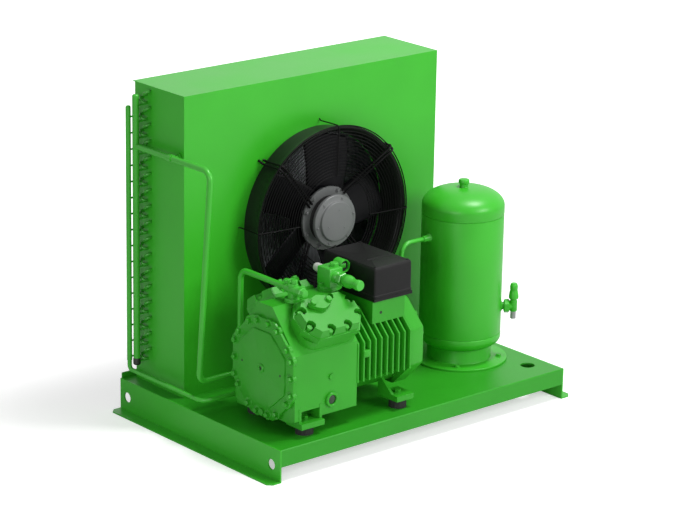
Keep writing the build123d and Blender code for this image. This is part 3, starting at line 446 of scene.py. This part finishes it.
# Return bends: hairpins of small copper tube, each brazed between two neighbouring tube ends and
# leaning the other way from the next.
half_turn = np.linspace(0, pi, 11)
bends = []
for lower in 155 + 44.0 * np.arange(17):
    for near, far in (((254, lower + 33), (271, lower + 22)), ((271, lower), (288, lower + 11))):
        near, far = np.array((0, *near)), np.array((0, *far))
        half = (far - near) / 2
        reach = np.linalg.norm(half)
        arc = (near + far) / 2 - np.cos(half_turn)[:, None] * half
        arc[:, 0] = -462.6 - np.sin(half_turn) * reach
        plate = (-457.6, 0, 0)
        bends.append(tube(np.concatenate(([near + plate], arc, [far + plate])), 4.2, 8))
bend_paint = sprayed("green_on_bends", (0.034, 0.34, 0.018), (0.024, 0.24, 0.013), 0.34, 700, 0.15)
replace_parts(skin("hairpin_bends", *joined(*bends), bend_paint), "return_bends")

# Fan mouth: a short pressed steel nozzle, coated black. It stands on the casing round the fan's
# opening and flares forwards to a rolled rim.
fan_x, fan_z = -17, 516
fan_middle = (fan_x, 0, fan_z)
forwards = (0, -1, 0)
black_coat = sprayed("black_coat", (0.010, 0.014, 0.010), (0.006, 0.009, 0.006), 0.34, 900, 0.1,
                     sheen=0.28)
mouth = [(245, -111), (245, -84), (245.4, -66), (247.4, -52), (251, -44.4), (254.6, -41.4),
         (256.6, -39.4), (256.4, -37.8), (254.6, -37.2), (251, -38.4), (246.6, -41.6), (242, -47.6),
         (238, -57), (234.6, -72), (232, -92), (231, -111), (231, -112), (245, -112), (245, -111)]
nozzle = turned(mouth, 144, fan_middle, forwards)
piece = skin("fan_mouth", *nozzle, black_coat, angle=50, slot="black_coat")
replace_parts(piece, "fan_nozzle")

# Guard wires: sixteen thin rings and a heavier rim ring, welded on four thin spokes whose ends
# bend back over the mouth to the casing.
wire_coat = sprayed("black_wire", (0.005, 0.005, 0.005), (0.003, 0.003, 0.003), 0.46, 900, 0.1,
                    sheen=0.08)


def hoop(radius, y, wire, sides=6, turns=96):
    """A round wire ring about the fan's axis: a small circle carried round a large one."""
    swing = np.linspace(0, 2 * pi, turns, endpoint=False)[:, None]
    section = np.linspace(0, 2 * pi, sides, endpoint=False)
    reach = radius + wire * np.cos(section)
    points = np.stack((fan_x + reach * np.cos(swing), y + wire * np.sin(section) + 0 * swing,
                       fan_z + reach * np.sin(swing)), axis=-1)
    return np.concatenate((points, points[:1])).reshape(-1, 3), grid(turns + 1, sides)


def spoke(angle, wire):
    """A thin wire from the innermost ring to the rim, back over it and hooked outwards."""
    out = np.array((cos(angle), 0, sin(angle)))
    line = [np.array(fan_middle) + out * r + np.array((0, y, 0))
            for r, y in ((122, 27), (250, 28), (260.4, 30), (260.4, 60), (259, 104), (264, 110.4))]
    return tube(route(line, 7, 5), wire, 8)


rings = [hoop(radius, 31.2, 1.25) for radius in np.linspace(124, 252, 16)]
rim_ring = hoop(258.6, 33.0, 1.8, 8)
spokes = [spoke(radians(angle), 1.7) for angle in (-2, 88, 178, 268)]
piece = skin("guard_wires", *joined(*rings, rim_ring, *spokes), wire_coat, slot="black_coat")
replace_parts(piece, "fan_guard")


# Guard arms: four pairs of heavy wires that carry the motor. Each pair is welded to the motor's
# flange, bends over the rim and is screwed to the casing by its hooked ends.
def arm(near, far, gap=11.0, wire=3.1):
    """Two wires side by side along the line from near to far, which are places about the fan's
    axis, then back to the casing, where each ends in a hook."""
    near, far = np.array(near, float), np.array(far, float)
    ahead = (far - near) / np.linalg.norm(far - near)
    beside = np.array((-ahead[1], ahead[0])) * gap / 2
    wires = []
    for side in (-1, 1):
        flat = [near + side * beside, far + side * beside, far + ahead * 12 + side * beside,
                far + ahead * 10 + side * beside, far + ahead * (20 + 6 * side) + side * beside]
        line = [np.array((fan_x + x, y, fan_z + z)) for (x, z), y in zip(flat, (54, 27, 30, 104, 108))]
        wires.append(tube(route(line, 12, 6), wire, 10))
    return joined(*wires)


arms = [arm((-63, 46), (-178, 168)), arm((48, 65), (190, 164)), arm((-71, -55), (-146, -206)),
        arm((66, -58), (168, -192))]
piece = skin("guard_arms", *joined(*arms), wire_coat, slot="black_coat")
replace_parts(piece, "guard_legs")


# Fan motor: an external-rotor motor whose cast aluminium stator faces forwards. Behind is its
# flange, screwed to the arms; in front a round disc with a raised lid stands on a neck painted
# dark as shade.
def about_fan(radius, y, turns):
    """Places on a circle about the fan's axis, at the given turns in degrees."""
    return [(fan_x + radius * cos(a), y, fan_z + radius * sin(a)) for a in np.radians(turns)]


cast_aluminium = sprayed("cast_aluminium", (0.145, 0.152, 0.150), (0.115, 0.120, 0.120), 0.42, 700, 0.2)
flange = [(0, -66), (86, -66), (87.4, -65), (87.4, -59.6), (86, -58), (74, -57.4), (62, -57), (0, -57)]
disc = [(0, -38), (66, -38), (69.6, -37), (71, -35), (71, -28), (69.6, -26), (66, -25.2), (56.6, -24.8),
        (55, -24), (54.4, -22.4), (54, -19.4), (52.6, -18), (50, -17.6), (0, -17.4)]
ear = [(0, 0), (8.4, 0), (8.4, 9), (7.4, 10), (0, 10)]
screw_turns = (22, 67, 130, 160, 205, 247, 292, 337)
ears = [turned(ear, 16, place, forwards) for place in about_fan(80, 66.4, screw_turns)]
screws = [bolt(place, forwards, 8, 5) for place in about_fan(80, 56.6, screw_turns)]
pins = [bolt(place, forwards, 4.6, 2.8) for place in about_fan(63, 25.2, 10 + 60 * np.arange(6))]
dots = [bolt(place, forwards, 3.6, 3) for place in about_fan(32, 19, (80, 200, 320))]
flange, disc = (turned(profile, 72, fan_middle, forwards) for profile in (flange, disc))
piece = skin("fan_motor", *joined(flange, disc, *ears, *screws, *pins, *dots), cast_aluminium,
             angle=30, slot="motor_aluminium")
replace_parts(piece, "fan_stator")

# Motor neck and cable: the drum between flange and disc, near black as painted shade of the gap
# there, and the short black cable that leaves it below.
cable_black_and_neck_shade = sprayed("black_cable_and_neck_shade", (0.012, 0.012, 0.012), (0.008, 0.008, 0.008), 0.45, 500, 0.1)
drum = [(0, -58), (64, -58), (63, -55), (60, -50), (60, -42), (64, -37.6), (0, -37.6)]
cable = route([(fan_x, 30, 449), (fan_x, 30, 440), (-6, 40, 432), (6, 70, 420)], 6, 5)
skin("fan_motor_drum", *joined(turned(drum, 72, fan_middle, forwards), tube(cable, 5, 12)),
     cable_black_and_neck_shade, slot="black_coat")

# Impeller: five sickle blades of pressed steel welded to the motor's turning can, coated black.
# A blade's point at radius r and chord c stands off its midline by the half chord, and leans
# forwards by the pitch with a shallow camber.
blade_coat = sprayed("black_blade", (0.006, 0.006, 0.007), (0.004, 0.004, 0.005), 0.4, 900, 0.1,
                     sheen=0.12)
radius, chord = np.meshgrid(np.linspace(74, 223, 20), np.linspace(-1, 1, 17), indexing="ij")
part_way = (radius - 68) / 162
across = 1 + 36 * part_way ** 1.6 + chord * (45 + 16 * part_way) * (1 - 0.12 * part_way ** 6)
outwards = np.sqrt(np.maximum(radius ** 2 - across ** 2, 1))
depth = 99 + across * tan(radians(26)) - 7 * (1 - chord ** 2)
corner = np.arange(19)[:, None] * 17 + np.arange(16)
faces = np.stack((corner, corner + 1, corner + 18, corner + 17), axis=-1).reshape(-1, 4)
blades = []
for turn_angle in np.arange(5) * 2 * pi / 5:
    x = outwards * cos(turn_angle) - across * sin(turn_angle)
    z = outwards * sin(turn_angle) + across * cos(turn_angle)
    blades.append((np.stack((fan_x + x, depth, fan_z + z), axis=-1).reshape(-1, 3), faces))
blade_sheet = skin("fan_blades", *joined(*blades), blade_coat, "impeller", 60, "black_coat")
wall = blade_sheet.modifiers.new("sheet", "SOLIDIFY")
wall.thickness = 0.0026
wall.offset = 0
can = [(0, -130), (72, -130), (77, -127), (78, -122), (78, -74), (76.5, -70), (72, -68), (0, -68)]
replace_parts(blade_sheet, "impeller")
skin("fan_can", *turned(can, 72, fan_middle, forwards), blade_coat, "impeller", slot="black_coat")

# Compressor: grey iron castings bolted together over paper gaskets, then sprayed green with the
# whole unit. The case, its heads, the finned motor end and the feet keep their cast faces.
coat(cast_paint, "crankcase", "front_head", "rear_head", "valve_plates", "blank_flanges",
     "motor_housing", "mount_bolts")


def eased(corners, run, steps=5):
    """A closed outline with each corner eased: a quadratic curve from a point one run before the
    corner to a point one run after it, with the corner as its control."""
    corners = np.array(corners, float)
    before, after = np.roll(corners, 1, axis=0), np.roll(corners, -1, axis=0)
    start = corners + run * (before - corners) / np.linalg.norm(before - corners, axis=1)[:, None]
    end = corners + run * (after - corners) / np.linalg.norm(after - corners, axis=1)[:, None]
    t = np.linspace(0, 1, steps)[:, None, None]
    curve = (1 - t) ** 2 * start + 2 * t * (1 - t) * corners + t ** 2 * end
    return curve.transpose(1, 0, 2).reshape(-1, 2)


def plated(outline, levels, origin, u, v):
    """A plate with worked edges: the outline, moved inwards by each level's inset along its
    mitres, is set at that level's height over the plane of u and v, and both ends are closed."""
    before, after = outline - np.roll(outline, 1, axis=0), np.roll(outline, -1, axis=0) - outline
    normals = [np.stack((step[:, 1], -step[:, 0]), axis=1) / np.linalg.norm(step, axis=1)[:, None]
               for step in (before, after)]
    mitre = (normals[0] + normals[1]) / (1 + np.sum(normals[0] * normals[1], axis=1))[:, None]
    inset, height = np.array(levels, float).T
    flat = outline - inset[:, None, None] * mitre
    centre = np.broadcast_to(outline.mean(axis=0), (1, *outline.shape))
    flat = np.concatenate((centre, flat, centre))
    height = np.concatenate((height[:1], height, height[-1:]))
    u, v = np.array(u, float), np.array(v, float)
    points = (np.array(origin, float) + flat[..., :1] * u + flat[..., 1:] * v
              + height[:, None, None] * np.cross(u, v))
    return points.reshape(-1, 3), grid(len(height), len(outline))


def octagon(half, high, side, top):
    """The eight corners of a square-set octagon, turning from its right side."""
    return [(half, -side), (half, side), (top, high), (-top, high), (-half, side), (-half, -side),
            (-top, -high), (top, -high)]


# End cover: a cast octagonal lid on the crank's end, with a raised middle and a half-round boss
# for each bolt. Its plug hole in the middle and two dimples show dark discs of painted shade.
axis_y, axis_z = -180, 250
leftwards = (-1, 0, 0)
middle = (-421.8, axis_y, axis_z)
edge = [(0, 0), (0, 7.4), (0.6, 8.6), (1.8, 9.2)]
cover = plated(eased(octagon(123, 133, 57, 46), 9), edge, middle, forwards, upwards)
edge = [(0, 8), (0.4, 11.5), (1.6, 13.6), (3.4, 14.2)]
raised = plated(eased(octagon(93, 101, 49, 34), 7), edge, middle, forwards, upwards)
rim = turned([(4.8, 13), (13, 13), (12.4, 16), (10, 18), (7.4, 18.2), (5.2, 16.4), (4.8, 13)], 28,
             middle, leftwards)
places = [(s * 112, z) for s in (-1, 1) for z in (-46, 0, 46)]
places += [(s * y, t * z) for s in (-1, 1) for t in (-1, 1)
           for y, z in ((96, 71), (56, 111), (22, 122))]
boss = [(0, 0), (14, 0), (14, 9.6), (12.8, 10.8), (0, 10.8)]
bosses = [turned(boss, 24, (-421, axis_y + y, axis_z + z), leftwards) for y, z in places]
piece = skin("crank_end_cover", *joined(cover, raised, rim, *bosses), cast_paint, angle=30)
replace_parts(piece, "end_cover")
# Dark green discs in the holes are painted shade.
hole_shade = sprayed("painted_shade_in_holes", (0.01, 0.03, 0.008), (0.006, 0.02, 0.005), 0.5, 500, 0.1)
plug_hole = turned([(0, 13), (5, 13), (5, 14.6), (0, 14.7)], 20, middle, leftwards)
dimple = [(0, 0), (3.2, 0), (3, 15.4), (0, 15.6)]
dimples = [turned(dimple, 12, (-421, axis_y + s * 77, axis_z), leftwards) for s in (-1, 1)]
skin("cover_holes", *joined(plug_hole, *dimples), hole_shade)
cover_heads = [bolt((-431.6, axis_y + y, axis_z + z), leftwards, 13, 8.6, 1.25, 0.3 * y)
               for y, z in places]
bolt_group("cover_hexagon_bolts", cover_heads, cast_paint, "cover_bolts")

# Head bolts: large hexagon bolts on washers, sunk in half-round pockets of the cylinder heads,
# and two on each blank flange. A row of seats gives a bolt's place along and across its bank,
# its distance out from the crank's axis and the height of its hexagon.
seats = [(78, 23, 164.5, 11), (78, -23, 164.5, 11), (-78, 23, 164.5, 11), (-78, -23, 164.5, 11),
         (27, 47, 164.5, 11), (-27, 47, 164.5, 11), (27, -47, 164.5, 11), (-27, -47, 164.5, 11),
         (-45, 28, 198.5, 8), (5, 28, 198.5, 8)]
bank_middle = np.array((-297, axis_y, axis_z))
bank_lean = radians(35)
head_heads = []
for side in (-1, 1):
    outwards = np.array((0, side * sin(bank_lean), cos(bank_lean)))
    along = np.array((-side, 0, 0))
    slope = np.cross(outwards, along)
    for x, y, lift, high in seats:
        place = bank_middle + outwards * lift + along * x + slope * y
        head_heads.append(bolt(place, outwards, 16, high, 1.2, 0.4 * x))
bolt_group("head_hexagon_bolts", head_heads, cast_paint, "head_bolts")

# Motor cover: a cast octagonal lid on the motor's end, chamfered all round, with twelve bolts.
edge = [(0, 0), (0, 39.4), (0.8, 41.6), (5, 46.4), (6.4, 47.4), (9, 48)]
lid = plated(eased(octagon(118, 118, 50, 50), 8), edge, (-28, axis_y, axis_z), backwards, upwards)
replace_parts(skin("motor_end_lid", *lid, cast_paint, angle=24), "motor_cover")
lid_bolts = [bolt((19.6, axis_y + 102 * cos(a), axis_z + 102 * sin(a)), rightwards, 13, 8.6)
             for a in np.radians(15 + 30 * np.arange(12))]
bolt_group("motor_lid_bolts", lid_bolts, cast_paint, "motor_cover_bolts")


# Motor housing trimmings: a cast lug bridging two fins, and a plugged hole in the pedestal.
def oblong(half, high):
    """The four corners of an oblong, turning from its right side."""
    return [(half, -high), (half, high), (-half, high), (-half, -high)]


edge = [(0, 0), (0, 10), (1, 12), (3, 13)]
lug = plated(eased(oblong(12, 10), 4, 4), edge, (-183, -291, 268), rightwards, upwards)
skin("fin_lug", *lug, cast_paint)
# The pedestal's hole is a dark disc of painted shade.
hole = turned([(0, -1), (4.2, -1), (4.2, 0.4), (0, 0.5)], 20, (-111, -270, 357), forwards)
skin("pedestal_hole", *hole, hole_shade)

# Suction valve: a brass shut-off valve bolted on the case. A flange with two bolts carries the
# square body, whose spindle cap points forwards and whose pipe end stands open beside it.
x, y = -208, -178
spindle, pipe_middle = (x, y, 455), (-160, -166, 469)
edge = [(0, 0), (0, 9), (1, 10.4), (2.6, 11)]
flange_plate = plated(eased(octagon(34, 25, 12, 12), 8), edge, (x, y, 418), rightwards, backwards)
edge = [(0, 0), (0, 46), (0.8, 48), (2.6, 49)]
block = plated(eased(oblong(22, 26), 4, 4), edge, (x, y, 429), rightwards, backwards)
neck = turned([(0, 20), (16.4, 20), (16.4, 34), (15.4, 36), (13.6, 38), (13.6, 56), (0, 56)], 28,
              spindle, forwards)
pipe_end = turned([(0, -16), (17.4, -16), (17.4, 14), (16.8, 16), (15.2, 16), (14.4, 14), (14.4, 4),
                   (0, 4)], 32, pipe_middle, forwards)
link = turned([(0, 0), (11, 0), (11, 34), (0, 34)], 20, (-187, -166, 469), rightwards)
top_nut = turned([(0, 0), (12, 0), (12, 9), (10.6, 11), (0, 11.4)], 6, (-200, -184, 477.4), upwards)
flange_bolts = [bolt((x + s * 26, y - s * 4, 428.6), upwards, 13, 9) for s in (-1, 1)]
valve_paint = sprayed("green_on_valves", (0.052, 0.46, 0.034), (0.040, 0.38, 0.026), 0.28, 500, 0.2)
valve = joined(flange_plate, block, neck, pipe_end, link, top_nut, *flange_bolts)
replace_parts(skin("suction_shutoff_valve", *valve, valve_paint, angle=28), "suction_valve")
gland = turned([(0, 40), (16, 40), (18.2, 42), (18.2, 54), (16.4, 56), (0, 56)], 6, spindle,
               forwards, 0.2)
cap = turned([(0, 55), (13, 55), (13.6, 60), (16.8, 66), (17.4, 74), (16, 84), (13.2, 90), (12.4, 96),
              (12.4, 107), (14, 109), (14, 118), (12.4, 121), (0, 121.4)], 24, spindle, forwards)
piece = skin("suction_spindle_cap", *joined(gland, cap), valve_paint, angle=28)
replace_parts(piece, "suction_cap")

# Inside of the suction valve's pipe end: a dark disc of painted shade in its bore, and the grey
# plug that closes the way to the suction pipe behind.
bore_shade = sprayed("painted_shade_in_bore", (0.010, 0.018, 0.010), (0.006, 0.010, 0.006), 0.6, 500, 0.1)
bore = turned([(0, 3), (14.2, 3), (14.2, 9), (0, 9)], 28, pipe_middle, forwards)
skin("suction_bore", *bore, bore_shade, slot="black_coat")
grey_plastic = sprayed("grey_plastic", (0.55, 0.55, 0.53), (0.48, 0.48, 0.46), 0.4, 900, 0.1)
plug = turned([(0, 0), (9, 0), (9, 5), (11.2, 6), (11.6, 9), (11.6, 26), (10.4, 31), (8, 33),
               (0, 33.4)], 28, (x, -153, 463), backwards)
piece = skin("suction_transport_plug", *plug, grey_plastic, slot="grey_plastic")
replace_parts(piece, "suction_plug")

# Discharge valve: a smaller valve of the same make over the front corner of the case, with two
# capped service ports on top; the hot-gas tube is brazed into its back.
x, y = -352, -200
barrel_middle = (x, y, 450)
foot_ring = turned([(0, 0), (20, 0), (20, 8), (18.6, 10), (0, 10)], 28, (x, y, 418), upwards)
stem_body = turned([(0, 8), (12.6, 8), (12.6, 38), (13.8, 41), (13.8, 46), (11, 49), (0, 49.6)], 28,
                   (x, y - 2, 418), upwards)
barrel = turned([(0, -22), (12, -22), (12.8, -20), (12.8, 22), (11, 26), (10.4, 30), (0, 30)], 28,
                barrel_middle, forwards)
port = turned([(0, 0), (7.4, 0), (7.4, 18), (9.2, 19), (9.2, 30), (8, 32), (0, 32)], 20,
              (x + 4, y + 2, 440), (0.92, -0.3, 0.25))
valve = joined(foot_ring, stem_body, barrel, port)
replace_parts(skin("discharge_shutoff_valve", *valve, valve_paint, angle=28), "discharge_valve")
cap = turned([(0, 29), (13, 29), (13.8, 31), (13.8, 41), (12, 43), (11.4, 50), (10, 52.4), (0, 52.6)],
             8, barrel_middle, forwards)
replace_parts(skin("discharge_spindle_cap", *cap, valve_paint, angle=28), "discharge_cap")
knobs = []
for at, high in ((-178, 22), (-208, 28)):
    knob = [(0, 8), (6, 8), (6, 16), (8.8, 17.4), (8.8, high - 2), (7.4, high), (0, high)]
    knobs.append(turned(knob, 6, (x, at, 450), upwards, 0.3))
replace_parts(skin("service_port_caps", *joined(*knobs), valve_paint, angle=28), "service_caps")

# Sight glass and oil plugs: a round glass in a turned ring low on the case, and hexagon plugs.
glass_middle = (-301, -300, 170)
ring = turned([(12, -2), (19.6, -2), (20, 5), (18.6, 7.4), (14.2, 7.6), (12.4, 5.6), (12, -2)], 36,
              glass_middle, forwards)
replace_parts(skin("oil_glass_ring", *ring, cast_paint), "sight_glass_ring")
oil_glass = sprayed("oil_glass", (0.022, 0.05, 0.02), (0.012, 0.03, 0.012), 0.08, 300, 0.02)
glass = turned([(0, -1), (12.2, -1), (12.2, 3), (8, 4), (0, 4.4)], 36, glass_middle, forwards)
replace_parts(skin("oil_glass_disc", *glass, oil_glass, slot="glass"), "sight_glass")
coat(cast_paint, "oil_plugs")

# Terminal box: a black moulded lid with soft edges over its tray, a low ridge across its top,
# and four small screws.
black_plastic = sprayed("black_plastic", (0.007, 0.007, 0.007), (0.005, 0.005, 0.005), 0.5, 1500, 0.2,
                        sheen=0.2)
x, y = -77.5, -175
edge = [(0.6, 0), (0, 1), (0, 7), (1.4, 8.6), (1.8, 74), (2.6, 79), (4.6, 82.6), (8, 84)]
lid = plated(eased(oblong(65.5, 105), 8, 7), edge, (x, y, 400), rightwards, backwards)
edge = [(0, 0), (0, 1), (0.8, 1.8)]
ridge = plated(eased(oblong(40, 3), 2, 4), edge, (-72, -210, 483.4), rightwards, backwards)
screw = [(0, 0), (4.6, 0), (4.2, 1.6), (0, 2)]
lid_screws = [turned(screw, 16, (x + s * 55, y + t * 94, 483.6), upwards)
              for s in (-1, 1) for t in (-1, 1)]
piece = skin("terminal_box_lid", *joined(lid, ridge, *lid_screws), black_plastic, angle=34,
             slot="black_plastic")
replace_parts(piece, "terminal_lid")
coat(black_plastic, "terminal_tray")

# Mountings and inner works: rubber buffers under the feet, and plain machined steel inside.
black_rubber = sprayed("black_rubber", (0.02, 0.02, 0.02), (0.014, 0.014, 0.014), 0.75, 600, 0.2)
coat(black_rubber, "rubber_mounts")
bare_steel = sprayed("bare_steel", (0.4, 0.4, 0.4), (0.3, 0.3, 0.3), 0.35, 900, 0.1)
coat(bare_steel, "crankshaft", "motor_rotor", "outlet_stem", "suction_stem", "discharge_stem")
brass = sprayed("brass_studs", (0.5, 0.34, 0.12), (0.4, 0.26, 0.09), 0.3, 900, 0.1)
coat(brass, "terminals")
